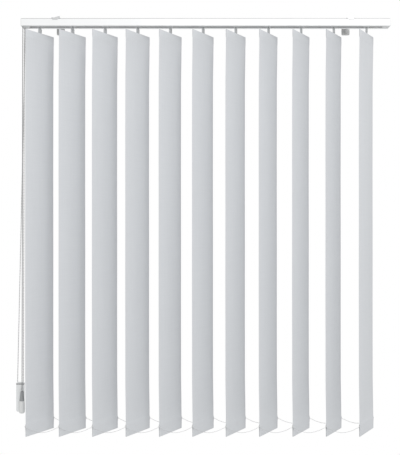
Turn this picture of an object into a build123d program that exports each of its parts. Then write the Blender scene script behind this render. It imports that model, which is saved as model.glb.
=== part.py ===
from build123d import *
import os
from math import ceil, cos, pi, radians, sin, tan

# Vertical blind with 127 mm fabric slats, worked by a bead chain that turns the slats
# and a looped cord that draws them aside. Both hang at the left end.
# Frame: +Z up, +X along the headrail to the right as seen from the room, +Y into the wall.
# The origin is the centre of the four wall screws, on the wall's surface.
# The slats are drawn right across and turned part open.

# Driving dimensions, in mm
slat_count = 11
slat_width = 127.0
slat_length = 1406.0
slat_pitch = 115.0
slat_turn = 54.5  # degrees from the plane of the blind, the left edges towards the room
fabric = 0.5
wall_gap = 70.0  # wall to the slats' axes
rail_depth = 40.0
rail_height = 26.0
rail_wall = 1.5
rail_slot = 13.0
rail_round = 2.5
rail_top = 16.0  # above the middle of the wall screws
control_margin = 63.3  # first slat's axis to the blind's left end
return_margin = 80.5  # last slat's axis to its right end
cap_plate = 3.0
cap_round = 1.0
hang_drop = 21.0  # rail's underside to the slats' top edge

# Running gear
stack_pitch = 21.0  # between carriers pushed together
carrier_length = 20.0
carrier_side_gap = 0.8
carrier_head_gap = 1.5
glide_gap = 0.3
wheel_radius = 5.8
wheel_height = 6.0
wheel_teeth = 10
tooth_notch = 0.7
stem_radius = 2.5
worm_radius = 3.4
worm_length = 11.6
rod_radius = 2.5
rod_z = 1.0
rod_grooves = 3
groove_radius = 0.65
key_radius = 0.45
run_gap = 0.3  # between pieces that turn or slide past each other
carrier_chamfer = 1.0
wheel_room = 0.5  # round the wheel and the rod in the carrier
worm_room = 0.4
cord_room = 0.7  # round the cord in the carrier
shaft_gap = 0.1  # round a shaft in its bearing
fit_gap = 0.2  # between pieces fitted together
strip_thick = 0.3
strip_height = 5.0
strip_top = -0.5
strip_lane = 0.7
lane_inset = 1.8  # first strip from the carrier's front
lane_room = 0.4
strip_reach = 9.0  # past the next carrier's middle
tang_width = 2.0
tang_height = 2.0

# Slat fittings
hanger_thick = 2.2
hanger_width = 118.0
hanger_height = 14.0
tab_width = 16.0
tab_rise = 14.0  # above the fabric's top edge
eye_width = 7.0
eye_height = 5.0
eye_top = 8.8  # above the fabric's top edge
peg_play = 1.0
hook_width = 8.0
cheek = 1.4
cheek_past = 1.0  # below the eye
hook_bridge = 3.0
stem_sunk = 1.0  # into the bridge
weight_thick = 2.4
weight_width = 119.0
weight_height = 38.0
lug_reach = 4.5  # past the fabric's edge
lug_height = 4.0
top_hem = 30.0
bottom_hem = 45.0
pocket_gap = 0.15

# Control end
sprocket_inset = 8.3  # from the blind's left end
chain_radius = 2.0
sprocket_pitch_radius = 5.5
sprocket_flange = 6.0
sprocket_gap = 1.5  # chain to each flange, for the strands that leave aslant
flange_thick = 0.9
hub_radius = 4.2
hub_past = 1.0  # past the housing's inner wall
stub_radius = 2.0
socket_floor = 1.0
control_depth = 24.3
control_floor = 2.0
guide_above = 1.0  # chain's bend above the floor
guide_gap = 0.6  # round the cord and the chain in the floor
peg_past = 0.6  # past the slats' axes
side_wall = 1.0
chain_front_shift = 3.0
chain_rear_shift = -3.0
chain_rear_y = 12.2  # where the rear strand leaves, behind the slats' axes
cord_radius = 0.7
cord_inset = 4.3  # where the cord leaves, from the blind's left end
cord_z = 9.0
cord_rail_y = -9.0  # between the cord's two runs in the rail
cord_bend = 4.0
cord_easing = 60.0  # radius where the cord slants to its peg
cord_straight = 11.0  # past the housing before it slants
cord_window = (14.0, 4.0)
return_radius = 5.0  # of the cord's turn round its return pulley
return_inset = 14.5
pulley_flange = 6.2
pulley_height = 4.4
pulley_floor_drop = 4.0  # cord to the pocket's floor
pulley_room = 1.5
return_block = 3.0  # past the pulley's flange
return_wall = 0.5
rod_seat = 9.0  # rod's end in its bearing

# Hanging weights
weight_x = -71.5  # chain weight's middle, from the first slat's axis
weight_y = 9.0
chain_drop = 1281.0
wheel_pitch_radius = 10.5
casing_width = 28.0
casing_thick = 7.2
casing_height = 104.0
casing_corner = 6.0
casing_round = 1.0
wheel_chamfer = 0.6
casing_top = 19.0  # above the wheel's axle
axle_radius = 1.5
bob_x = -62.0  # cord weight's middle, from the first slat's axis
bob_y = -5.0
bob_top = -1291.0
bob_height = 77.0
bob_radius = 10.0
bob_shoulder = 0.55  # share of the height where it is widest
bob_round = 5.0
bob_neck = 5.2
bob_bore = 4.2
bob_pulley_depth = 22.0
bob_pitch_radius = 3.0
bob_axle = 0.9
bob_pin_grip = 1.0  # of the pin in the neck's wall
bob_pulley_width = 3.2

# Brackets
bracket_inset = 59.0  # from the outer slats' axes
bracket_width = 29.0
bracket_plate = 2.0
leg_below = 19.0
bracket_corner = 5.0
screw_spacing = 20.0
screw_hole = 2.5
clip_plate = 1.5
clip_lip = 5.5
lip_gap = 0.1
lip_outer = 11.0  # front lip's ends, from the bracket's middle
lip_inner = 15.0
lever_slope = 6.0
lever_rise = 5.0  # above the clip's plate
lever_foot = 9.0
lever_edge = 0.5
arm_past = 13.0  # past the slats' axes
bolt_radius = 2.5
bolt_slot = 14.0
bolt_head = 4.5
bolt_head_height = 2.6

# Bottom chains
link_radius = 1.1
link_sag = ((0.0, 0.0), (0.2, -12.0), (0.5, -19.0), (0.8, -12.0))
link_hook_radius = 3.5

# Values that follow
hang_y = -wall_gap
first_x = -(slat_count - 1) / 2 * slat_pitch
last_x = -first_x
axes_x = [first_x + i * slat_pitch for i in range(slat_count)]
left_end = first_x - control_margin
right_end = last_x + return_margin
rail_left = left_end + cap_plate
rail_right = right_end - cap_plate
rail_bottom = rail_top - rail_height
rail_floor = rail_bottom + rail_wall
rail_inside = rail_depth / 2 - rail_wall
slat_top = rail_bottom - hang_drop
slat_bottom = slat_top - slat_length
along = (cos(radians(slat_turn)), sin(radians(slat_turn)))
worm_y = wheel_radius + worm_radius + run_gap
rod_y = hang_y + worm_y
carrier_half = rail_inside - carrier_side_gap
carrier_bottom = rail_floor + glide_gap
carrier_top = rail_top - rail_wall - carrier_head_gap
wheel_bottom = rod_z - wheel_height / 2
lane_count = ceil((slat_pitch + strip_reach) / stack_pitch) + 1
first_lane = -carrier_half + lane_inset
window_low = strip_top - strip_height - lane_room
window_high = strip_top + lane_room
sprocket_x = left_end + sprocket_inset
cord_x = left_end + cord_inset
block_half = rail_inside - fit_gap
block_top = rail_top - rail_wall - fit_gap
block_end = rail_left + control_depth
pulley_x = right_end - return_inset
pulley_y = hang_y + cord_rail_y
wheel_x = first_x + weight_x
wheel_y = hang_y + weight_y
wheel_z = -chain_drop
bob_axis = (first_x + bob_x, hang_y + bob_y)
bob_pulley_z = bob_top - bob_pulley_depth
bracket_x = last_x - bracket_inset
clip_top = rail_top + clip_plate
arm_top = clip_top + bracket_plate
hem_thick = weight_thick + 2 * (fabric + pocket_gap)
lug_z = slat_bottom + fabric + pocket_gap + weight_height - lug_height / 2
link_z = lug_z - lug_height / 2 - link_radius - run_gap

os.makedirs("parts", exist_ok=True)


def write(piece, name):
    """Label a finished piece and write it as a STEP file."""
    piece.part.label = name
    export_step(piece.part, f"parts/{name}.step")


def turned(x):
    """The plane across a slat's axis, its X along the slat."""
    return Plane(origin=(x, hang_y, 0), x_dir=(*along, 0), z_dir=(0, 0, 1))


def slat_section(x):
    """The plane through a slat's axis that its section lies in, with the slat's length up."""
    return Plane(origin=(x, hang_y, 0), x_dir=(-along[1], along[0], 0), z_dir=(*along, 0))


def block(x, y, z, mode=Mode.ADD):
    """A box between two places along each of X, Y and Z."""
    with Locations(((x[0] + x[1]) / 2, (y[0] + y[1]) / 2, (z[0] + z[1]) / 2)):
        Box(x[1] - x[0], y[1] - y[0], z[1] - z[0], mode=mode)


def route_radii(points, tight):
    """Each corner's radius: the given one, or as wide as the corner's two runs allow."""
    radii = []
    for i in range(1, len(points) - 1):
        before = Vector(*points[i]) - Vector(*points[i - 1])
        after = Vector(*points[i + 1]) - Vector(*points[i])
        half_turn = radians(before.get_angle(after) / 2)
        widest = 0.45 * min(before.length, after.length) / tan(half_turn)
        radii.append(tight.get(i, widest))
    return radii


def tube_along(points, tight, radius, name):
    """A round tube along straight runs joined by tangent arcs."""
    radii = route_radii(points, tight)
    with BuildPart() as tube:
        with BuildLine() as path:
            FilletPolyline(*points, radius=radii)
        start = path.line @ 0
        with BuildSketch(Plane(origin=start, z_dir=path.line % 0)):
            Circle(radius)
        sweep(path=path.line)
    length = sum(edge.length for edge in path.edges())
    share = tube.part.volume / (pi * radius**2 * length)
    print(name, "length", round(length, 1), "tube over section times length", round(share, 4))
    print("  radii", [round(r, 1) for r in radii])
    return tube


# Headrail: an extruded channel with a slot along its underside
with BuildPart() as headrail:
    with BuildSketch(Plane.YZ.offset(rail_left)):
        with Locations((hang_y, rail_top - rail_height / 2)):
            Rectangle(rail_depth, rail_height)
    extrude(amount=rail_right - rail_left)
    upper = headrail.edges().filter_by(Axis.X).group_by(Axis.Z)[-1]
    fillet(upper, rail_round)
    with BuildSketch(Plane.YZ.offset(rail_left)):
        with Locations((hang_y, rail_top - rail_height / 2)):
            Rectangle(rail_depth - 2 * rail_wall, rail_height - 2 * rail_wall)
    extrude(amount=rail_right - rail_left, mode=Mode.SUBTRACT)
    with BuildSketch(Plane.YZ.offset(rail_left)):
        with Locations((hang_y, rail_bottom + rail_wall / 2)):
            Rectangle(rail_slot, rail_wall)
    extrude(amount=rail_right - rail_left, mode=Mode.SUBTRACT)
    # the floor is notched for the control unit
    block(
        (rail_left, block_end + fit_gap),
        (hang_y - rail_inside, hang_y + rail_inside),
        (rail_bottom, rail_floor),
        mode=Mode.SUBTRACT,
    )
write(headrail, "headrail")

# Control end cap: end plate and the housing of the sprocket and the cord guide
with BuildPart() as control_end_cap:
    block(
        (left_end, rail_left),
        (hang_y - rail_depth / 2, hang_y + rail_depth / 2),
        (rail_bottom, rail_top),
    )
    fillet(control_end_cap.edges().group_by(Axis.X)[0], cap_round)
    block(
        (rail_left, block_end),
        (hang_y - block_half, hang_y + block_half),
        (rail_bottom, block_top),
    )
    block(
        (rail_left, block_end - control_floor),
        (hang_y - block_half + side_wall, hang_y + block_half - side_wall),
        (rail_bottom + control_floor, block_top),
        mode=Mode.SUBTRACT,
    )
    # peg that the cord turns down over
    with BuildSketch(Plane.XZ.offset(-(hang_y + peg_past))):
        with Locations((cord_x + cord_bend, cord_z - cord_bend)):
            Circle(cord_bend - cord_radius - fit_gap)
    extrude(amount=block_half + peg_past)
    # holes in the floor: two for the cord and two for the chain
    with BuildSketch(Plane.XY.offset(rail_bottom)):
        with Locations(
            (cord_x, bob_axis[1] - bob_pitch_radius), (cord_x, bob_axis[1] + bob_pitch_radius)
        ):
            Circle(cord_radius + guide_gap)
        with Locations(
            (sprocket_x + chain_front_shift, rod_y - sprocket_pitch_radius),
            (sprocket_x + chain_rear_shift, hang_y + chain_rear_y),
        ):
            Circle(chain_radius + guide_gap)
    extrude(amount=control_floor, mode=Mode.SUBTRACT)
    # bearing of the sprocket's hub in the inner wall, and of its stub in the end plate
    with BuildSketch(Plane.YZ.offset(block_end)):
        with Locations((rod_y, rod_z)):
            Circle(hub_radius + shaft_gap)
    extrude(amount=-control_floor, mode=Mode.SUBTRACT)
    with BuildSketch(Plane.YZ.offset(rail_left)):
        with Locations((rod_y, rod_z)):
            Circle(stub_radius + shaft_gap)
    extrude(amount=-cap_plate / 2, mode=Mode.SUBTRACT)
    # window for the cord's two runs
    block(
        (block_end - control_floor, block_end),
        (pulley_y - cord_window[0] / 2, pulley_y + cord_window[0] / 2),
        (cord_z - cord_window[1] / 2, cord_z + cord_window[1] / 2),
        mode=Mode.SUBTRACT,
    )
write(control_end_cap, "control_end_cap")

# Return end cap: end plate, the rod's bearing and the return pulley's pin
return_start = pulley_x - pulley_flange - return_block
pulley_floor = cord_z - pulley_floor_drop
with BuildPart() as return_end_cap:
    block(
        (rail_right, right_end),
        (hang_y - rail_depth / 2, hang_y + rail_depth / 2),
        (rail_bottom, rail_top),
    )
    fillet(return_end_cap.edges().group_by(Axis.X)[-1], cap_round)
    block(
        (return_start, rail_right),
        (hang_y - block_half, hang_y + block_half),
        (rail_floor + fit_gap, block_top),
    )
    block(
        (return_start, rail_right - return_wall),
        (hang_y - block_half, pulley_y + pulley_flange + pulley_room),
        (pulley_floor, block_top),
        mode=Mode.SUBTRACT,
    )
    with BuildSketch(Plane.XY.offset(pulley_floor)):
        with Locations((pulley_x, pulley_y)):
            Circle(axle_radius)
    extrude(amount=block_top - pulley_floor)
    with BuildSketch(Plane.YZ.offset(return_start)):
        with Locations((rod_y, rod_z)):
            Circle(rod_radius + shaft_gap)
    extrude(amount=rod_seat + return_wall, mode=Mode.SUBTRACT)
write(return_end_cap, "return_end_cap")

# Return pulley: the cord turns back round it at the right end
with BuildPart() as return_pulley:
    with BuildSketch(Plane.XY.offset(cord_z - pulley_height / 2)):
        with Locations((pulley_x, pulley_y)):
            Circle(pulley_flange)
            Circle(axle_radius + shaft_gap, mode=Mode.SUBTRACT)
    extrude(amount=pulley_height)
    with BuildSketch(Plane.XY.offset(cord_z - cord_radius - fit_gap)):
        with Locations((pulley_x, pulley_y)):
            Circle(pulley_flange)
            Circle(return_radius - cord_radius - fit_gap, mode=Mode.SUBTRACT)
    extrude(amount=2 * (cord_radius + fit_gap), mode=Mode.SUBTRACT)
write(return_pulley, "return_pulley")

# Chain sprocket: flanges either side of the chain, a stub and a hub that takes the rod
flange_at = chain_radius + sprocket_gap
socket_start = sprocket_x + flange_at + flange_thick + socket_floor
hub_end = block_end + hub_past
with BuildPart() as chain_sprocket:
    for side in (-flange_at - flange_thick, flange_at):
        with BuildSketch(Plane.YZ.offset(sprocket_x + side)):
            with Locations((rod_y, rod_z)):
                Circle(sprocket_flange)
        extrude(amount=flange_thick)
    with BuildSketch(Plane.YZ.offset(sprocket_x - flange_at)):
        with Locations((rod_y, rod_z)):
            Circle(sprocket_pitch_radius - chain_radius - run_gap)
    extrude(amount=2 * flange_at)
    with BuildSketch(Plane.YZ.offset(rail_left - cap_plate / 2 + fit_gap)):
        with Locations((rod_y, rod_z)):
            Circle(stub_radius)
    extrude(until=Until.NEXT)
    with BuildSketch(Plane.YZ.offset(sprocket_x + flange_at)):
        with Locations((rod_y, rod_z)):
            Circle(hub_radius)
    extrude(amount=hub_end - sprocket_x - flange_at)
    with BuildSketch(Plane.YZ.offset(socket_start)):
        with Locations((rod_y, rod_z)):
            Circle(rod_radius + shaft_gap)
    extrude(amount=hub_end - socket_start, mode=Mode.SUBTRACT)
write(chain_sprocket, "chain_sprocket")

# Tilt rod: grooved along its length, so that it turns the worms wherever they slide
with BuildPart() as tilt_rod:
    with BuildSketch(Plane.YZ.offset(socket_start + fit_gap)):
        with Locations((rod_y, rod_z)):
            Circle(rod_radius)
            with PolarLocations(rod_radius, rod_grooves):
                Circle(groove_radius, mode=Mode.SUBTRACT)
    extrude(amount=return_start + rod_seat - socket_start)
write(tilt_rod, "tilt_rod")

# Running gear, one set for each slat
for number, x in enumerate(axes_x, start=1):
    lane = (number - 1) % lane_count
    lane_y = hang_y + first_lane + lane * strip_lane

    # Carrier: glides in the rail, holds the wheel and the worm
    with BuildPart() as carrier:
        block(
            (x - carrier_length / 2, x + carrier_length / 2),
            (hang_y - carrier_half, hang_y + carrier_half),
            (carrier_bottom, carrier_top),
        )
        chamfer(carrier.edges().filter_by(Axis.Z), carrier_chamfer)
        with BuildSketch(Plane.XY.offset(wheel_bottom - run_gap)):
            with Locations((x, hang_y)):
                Circle(wheel_radius + wheel_room)
        extrude(amount=carrier_top - wheel_bottom + run_gap, mode=Mode.SUBTRACT)
        block(
            (x - worm_length / 2 - run_gap, x + worm_length / 2 + run_gap),
            (hang_y, rod_y + worm_radius + worm_room),
            (rod_z - worm_radius - worm_room, carrier_top),
            mode=Mode.SUBTRACT,
        )
        with BuildSketch(Plane.XY.offset(carrier_bottom)):
            with Locations((x, hang_y)):
                Circle(stem_radius + run_gap)
        extrude(amount=carrier_top - carrier_bottom, mode=Mode.SUBTRACT)
        with BuildSketch(Plane.YZ.offset(x - carrier_length / 2)):
            with Locations((rod_y, rod_z)):
                Circle(rod_radius + wheel_room)
            with Locations(
                (pulley_y - return_radius, cord_z), (pulley_y + return_radius, cord_z)
            ):
                Circle(cord_radius + cord_room)
        extrude(amount=carrier_length, mode=Mode.SUBTRACT)
        window = (
            hang_y + first_lane - lane_room,
            hang_y + first_lane + (lane_count - 1) * strip_lane + lane_room,
        )
        block(
            (x - carrier_length / 2, x + carrier_length / 2),
            window,
            (window_low, window_high),
            mode=Mode.SUBTRACT,
        )
        block(
            (x - tang_width / 2 - fit_gap, x + tang_width / 2 + fit_gap),
            window,
            (window_high, strip_top + tang_height + fit_gap),
            mode=Mode.SUBTRACT,
        )
        # Spacer strip: hooked in this carrier, it slides through the next ones
        if number < slat_count:
            strip = (lane_y - strip_thick / 2, lane_y + strip_thick / 2)
            tang = (x - tang_width / 2, x + tang_width / 2)
            block(
                (tang[0], x + slat_pitch + strip_reach),
                strip,
                (strip_top - strip_height, strip_top),
            )
            block(tang, strip, (strip_top, strip_top + tang_height))
    write(carrier, f"carrier_{number}")

    # Worm: turned by the rod, it turns the wheel beside it
    with BuildPart() as worm:
        with BuildSketch(Plane.YZ.offset(x - worm_length / 2)):
            with Locations((rod_y, rod_z)):
                Circle(worm_radius)
                Circle(rod_radius + shaft_gap, mode=Mode.SUBTRACT)
                with PolarLocations(rod_radius, rod_grooves):
                    Circle(key_radius)
        extrude(amount=worm_length)
    write(worm, f"worm_{number}")

    # Hook: toothed wheel, stem and the clip that the hanger is pushed onto
    cheek_in = hanger_thick / 2 + run_gap
    cheek_low = slat_top + eye_top - eye_height - cheek_past
    bridge_low = slat_top + tab_rise + run_gap
    with BuildPart() as hook:
        with BuildSketch(Plane.XY.offset(wheel_bottom)):
            with Locations((x, hang_y)):
                Circle(wheel_radius)
                with PolarLocations(wheel_radius, wheel_teeth):
                    Circle(tooth_notch, mode=Mode.SUBTRACT)
        extrude(amount=wheel_height)
        with BuildSketch(Plane.XY.offset(bridge_low + hook_bridge - stem_sunk)):
            with Locations((x, hang_y)):
                Circle(stem_radius)
        extrude(amount=wheel_bottom - bridge_low - hook_bridge + stem_sunk)
        with BuildSketch(turned(x).offset(bridge_low)):
            Rectangle(hook_width, 2 * (cheek_in + cheek))
        extrude(amount=hook_bridge)
        with BuildSketch(turned(x).offset(cheek_low)):
            with Locations((0, cheek_in + cheek / 2), (0, -cheek_in - cheek / 2)):
                Rectangle(hook_width, cheek)
        extrude(amount=bridge_low - cheek_low)
        # peg through the hanger's eye
        with BuildSketch(turned(x).offset(slat_top + eye_top - eye_height + run_gap)):
            with Locations((0, -run_gap / 2)):
                Rectangle(eye_width - peg_play, 2 * cheek_in - run_gap)
        extrude(amount=eye_height - run_gap - fit_gap)
    write(hook, f"hook_{number}")

    # Slat: fabric with a pocket at each end, the hanger in one and the weight in the other
    with BuildPart() as slat:
        with BuildSketch(slat_section(x)):
            with Locations((0, (slat_top + slat_bottom) / 2)):
                Rectangle(fabric, slat_length)
            with Locations((0, slat_top - top_hem / 2)):
                Rectangle(hem_thick, top_hem)
                Rectangle(hem_thick - 2 * fabric, top_hem - 2 * fabric, mode=Mode.SUBTRACT)
            with Locations((0, slat_bottom + bottom_hem / 2)):
                Rectangle(hem_thick, bottom_hem)
                Rectangle(hem_thick - 2 * fabric, bottom_hem - 2 * fabric, mode=Mode.SUBTRACT)
        extrude(amount=slat_width / 2, both=True)
        with BuildSketch(turned(x).offset(slat_top - fabric)):
            Rectangle(tab_width + 2 * run_gap, hem_thick - 2 * fabric)
        extrude(amount=fabric, mode=Mode.SUBTRACT)
        hanger_top = slat_top - fabric - pocket_gap
        with BuildSketch(turned(x).offset(hanger_top - hanger_height)):
            Rectangle(hanger_width, hanger_thick)
        extrude(amount=hanger_height)
        with BuildSketch(turned(x).offset(hanger_top)):
            Rectangle(tab_width, hanger_thick)
        extrude(amount=slat_top + tab_rise - hanger_top)
        with BuildSketch(turned(x).offset(slat_top + eye_top - eye_height)):
            Rectangle(eye_width, hanger_thick)
        extrude(amount=eye_height, mode=Mode.SUBTRACT)
        weight_low = slat_bottom + fabric + pocket_gap
        with BuildSketch(turned(x).offset(weight_low)):
            Rectangle(weight_width, weight_thick)
        extrude(amount=weight_height)
        with BuildSketch(turned(x).offset(lug_z - lug_height / 2)):
            Rectangle(slat_width + 2 * lug_reach, weight_thick)
        extrude(amount=lug_height)
    write(slat, f"slat_{number}")

# Bead chain: a loop over the sprocket and round the wheel in the hanging weight
front_y = rod_y - sprocket_pitch_radius
rear_y = rod_y + sprocket_pitch_radius
over = rod_z + sprocket_pitch_radius
under = wheel_z - wheel_pitch_radius
guide_z = rail_bottom + control_floor + guide_above
chain_route = [
    (sprocket_x, front_y, rod_z - 1.5),
    (sprocket_x, front_y, over),
    (sprocket_x, rear_y, over),
    (sprocket_x, rear_y, rod_z - 3.0),
    (sprocket_x + chain_rear_shift, hang_y + chain_rear_y, guide_z),
    (wheel_x + wheel_pitch_radius, wheel_y, under),
    (wheel_x - wheel_pitch_radius, wheel_y, under),
    (sprocket_x + chain_front_shift, front_y, guide_z),
    (sprocket_x, front_y, rod_z - 2.5),
]
chain_tight = {
    1: sprocket_pitch_radius - 0.05,
    2: sprocket_pitch_radius - 0.05,
    5: wheel_pitch_radius - 0.05,
    6: wheel_pitch_radius - 0.05,
}
bead_chain = tube_along(chain_route, chain_tight, chain_radius, "bead chain")
write(bead_chain, "bead_chain")

# Chain weight: a flat casing on the chain's lower turn, with its axle moulded in
with BuildPart() as chain_weight:
    with BuildSketch(Plane.XZ.offset(-(wheel_y + casing_thick / 2))):
        with Locations((wheel_x, wheel_z + casing_top - casing_height / 2)):
            RectangleRounded(casing_width, casing_height, casing_corner)
    extrude(amount=casing_thick)
    fillet(chain_weight.faces().filter_by(Axis.Y).edges(), casing_round)
    hollow = wheel_pitch_radius + chain_radius + run_gap
    with BuildSketch(Plane.XZ.offset(-(wheel_y + chain_radius + run_gap))):
        with Locations((wheel_x, wheel_z)):
            Circle(hollow)
        with Locations((wheel_x, wheel_z + casing_top / 2)):
            Rectangle(2 * hollow, casing_top)
    extrude(amount=2 * (chain_radius + run_gap), mode=Mode.SUBTRACT)
    with BuildSketch(Plane.XZ.offset(-(wheel_y + casing_thick / 2 - casing_round))):
        with Locations((wheel_x, wheel_z)):
            Circle(axle_radius)
    extrude(amount=casing_thick - 2 * casing_round)
write(chain_weight, "chain_weight")

# Wheel that the chain runs round in its weight
with BuildPart() as chain_weight_wheel:
    with BuildSketch(Plane.XZ.offset(-(wheel_y + chain_radius))):
        with Locations((wheel_x, wheel_z)):
            Circle(wheel_pitch_radius - chain_radius - run_gap)
            Circle(axle_radius + shaft_gap, mode=Mode.SUBTRACT)
    extrude(amount=2 * chain_radius)
    rims = chain_weight_wheel.edges().filter_by(GeomType.CIRCLE).sort_by(SortBy.LENGTH)[-2:]
    chamfer(rims, wheel_chamfer)
write(chain_weight_wheel, "chain_weight_wheel")

# Traverse cord: from the lead carrier round the return pulley, along the rail, over the
# control end's peg, down round the pulley in its weight, and back up to the lead carrier
near_run = pulley_y - return_radius
far_run = pulley_y + return_radius
near_hang = bob_axis[1] - bob_pitch_radius
far_hang = bob_axis[1] + bob_pitch_radius
turn_x = pulley_x + return_radius
lead_in = block_end + cord_straight
cord_low = bob_pulley_z - bob_pitch_radius
cord_route = [
    (last_x + 0.5, near_run, cord_z),
    (turn_x, near_run, cord_z),
    (turn_x, far_run, cord_z),
    (lead_in, far_run, cord_z),
    (cord_x, far_hang, cord_z),
    (bob_axis[0], far_hang, cord_low),
    (bob_axis[0], near_hang, cord_low),
    (cord_x, near_hang, cord_z),
    (lead_in, near_run, cord_z),
    (last_x - 0.5, near_run, cord_z),
]
cord_tight = {
    1: return_radius - 0.05,
    2: return_radius - 0.05,
    3: cord_easing,
    4: cord_bend,
    5: bob_pitch_radius - 0.05,
    6: bob_pitch_radius - 0.05,
    7: cord_bend,
    8: cord_easing,
}
traverse_cord = tube_along(cord_route, cord_tight, cord_radius, "traverse cord")
write(traverse_cord, "traverse_cord")

# Cord weight: a hollow drop with the cord's lower pulley on a pin in its neck
with BuildPart() as cord_weight:
    with BuildSketch(Plane.XZ.offset(-bob_axis[1])):
        with BuildLine():
            Polyline(
                (bob_axis[0], bob_top),
                (bob_axis[0] + bob_neck, bob_top),
                (bob_axis[0] + bob_radius, bob_top - bob_shoulder * bob_height),
                (bob_axis[0] + bob_radius, bob_top - bob_height),
                (bob_axis[0], bob_top - bob_height),
                close=True,
            )
        make_face()
    revolve(axis=Axis((bob_axis[0], bob_axis[1], 0), (0, 0, 1)))
    fillet(cord_weight.edges().group_by(Axis.Z)[0], bob_round)
    with BuildSketch(Plane.XY.offset(bob_top)):
        with Locations(bob_axis):
            Circle(bob_bore)
    extrude(amount=-(bob_pulley_depth + bob_bore + bob_pin_grip), mode=Mode.SUBTRACT)
    with BuildSketch(Plane.YZ.offset(bob_axis[0] - bob_bore - bob_pin_grip)):
        with Locations((bob_axis[1], bob_pulley_z)):
            Circle(bob_axle)
    extrude(amount=2 * (bob_bore + bob_pin_grip))
write(cord_weight, "cord_weight")

# Pulley that the cord runs round in its weight
with BuildPart() as cord_weight_pulley:
    with BuildSketch(Plane.YZ.offset(bob_axis[0] - bob_pulley_width / 2)):
        with Locations((bob_axis[1], bob_pulley_z)):
            Circle(bob_pitch_radius - cord_radius - fit_gap)
            Circle(bob_axle + shaft_gap, mode=Mode.SUBTRACT)
    extrude(amount=bob_pulley_width)
write(cord_weight_pulley, "cord_weight_pulley")

# Wall brackets: a leg screwed to the wall and an arm out over the rail
arm_end = hang_y - arm_past
with BuildPart() as wall_brackets:
    for x in (-bracket_x, bracket_x):
        wide = (x - bracket_width / 2, x + bracket_width / 2)
        block(wide, (-bracket_plate, 0), (-leg_below, arm_top))
        block(wide, (arm_end, 0), (clip_top, arm_top))
    fillet(wall_brackets.edges().filter_by(Axis.Y).group_by(Axis.Z)[0], bracket_corner)
    fillet(wall_brackets.edges().filter_by(Axis.Z).group_by(Axis.Y)[0], bracket_corner)
    with BuildSketch(Plane.XZ):
        with GridLocations(2 * bracket_x, screw_spacing, 2, 2):
            Circle(screw_hole)
    extrude(amount=bracket_plate, mode=Mode.SUBTRACT)
    with BuildSketch(Plane.XY.offset(clip_top)):
        with Locations((-bracket_x, hang_y), (bracket_x, hang_y)):
            SlotCenterToCenter(bolt_slot, 2 * (bolt_radius + shaft_gap), rotation=90)
    extrude(amount=bracket_plate, mode=Mode.SUBTRACT)
write(wall_brackets, "wall_brackets")

# Rail clips: each grips both top edges of the rail and is bolted up to its bracket's arm
rail_front = hang_y - rail_depth / 2
rail_back = hang_y + rail_depth / 2
with BuildPart() as rail_clips:
    for x in (-bracket_x, bracket_x):
        inward = -1 if x > 0 else 1
        outer = x - inward * lip_outer
        inner = x + inward * lip_inner
        block(
            (x - bracket_width / 2, x + bracket_width / 2),
            (rail_front - lip_gap - clip_plate, rail_back + lip_gap + clip_plate),
            (rail_top, clip_top),
        )
        block(
            (x - bracket_width / 2, x + bracket_width / 2),
            (rail_back + lip_gap, rail_back + lip_gap + clip_plate),
            (rail_top - clip_lip, rail_top),
        )
        # front lip, with its lever rising towards the middle of the rail
        with BuildSketch(Plane.XZ.offset(-(rail_front - lip_gap))):
            with BuildLine():
                Polyline(
                    (outer, rail_top - clip_lip),
                    (outer, rail_top - lever_edge),
                    (inner - inward * lever_slope, clip_top + lever_rise - lever_edge),
                    (inner, clip_top + lever_rise),
                    (inner, clip_top + lever_edge),
                    (inner - inward * lever_foot, rail_top - clip_lip),
                    close=True,
                )
            make_face()
        extrude(amount=clip_plate)
    with BuildSketch(Plane.XY.offset(rail_top)):
        with Locations((-bracket_x, hang_y), (bracket_x, hang_y)):
            Circle(bolt_radius + shaft_gap)
    extrude(amount=clip_plate, mode=Mode.SUBTRACT)
    # bolts, heads on the arms and ends flush with the clips
    with BuildSketch(Plane.XY.offset(rail_top)):
        with Locations((-bracket_x, hang_y), (bracket_x, hang_y)):
            Circle(bolt_radius)
    extrude(amount=arm_top - rail_top)
    with BuildSketch(Plane.XY.offset(arm_top)):
        with Locations((-bracket_x, hang_y), (bracket_x, hang_y)):
            RegularPolygon(bolt_head, 6)
    extrude(amount=bolt_head_height)
write(rail_clips, "rail_clips")

# Bottom chains: one joins the slats' front edges, one their back edges
for name, side in (("bottom_chain_front", -1), ("bottom_chain_rear", 1)):
    out = side * (slat_width / 2 + lug_reach)
    start = (first_x + out * along[0], hang_y + out * along[1], link_z)
    chain_points = []
    hooked = {}
    for gap in range(slat_count - 1):
        if gap:
            hooked[len(chain_points)] = link_hook_radius
        for share, drop in link_sag:
            place = (start[0] + (gap + share) * slat_pitch, start[1], start[2] + drop)
            chain_points.append(place)
    chain_points.append((start[0] + (slat_count - 1) * slat_pitch, start[1], start[2]))
    bottom_chain = tube_along(chain_points, hooked, link_radius, name)
    write(bottom_chain, name)
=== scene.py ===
import bpy
from math import ceil, cos, pi, radians, sin
from mathutils import Matrix, Vector


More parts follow.
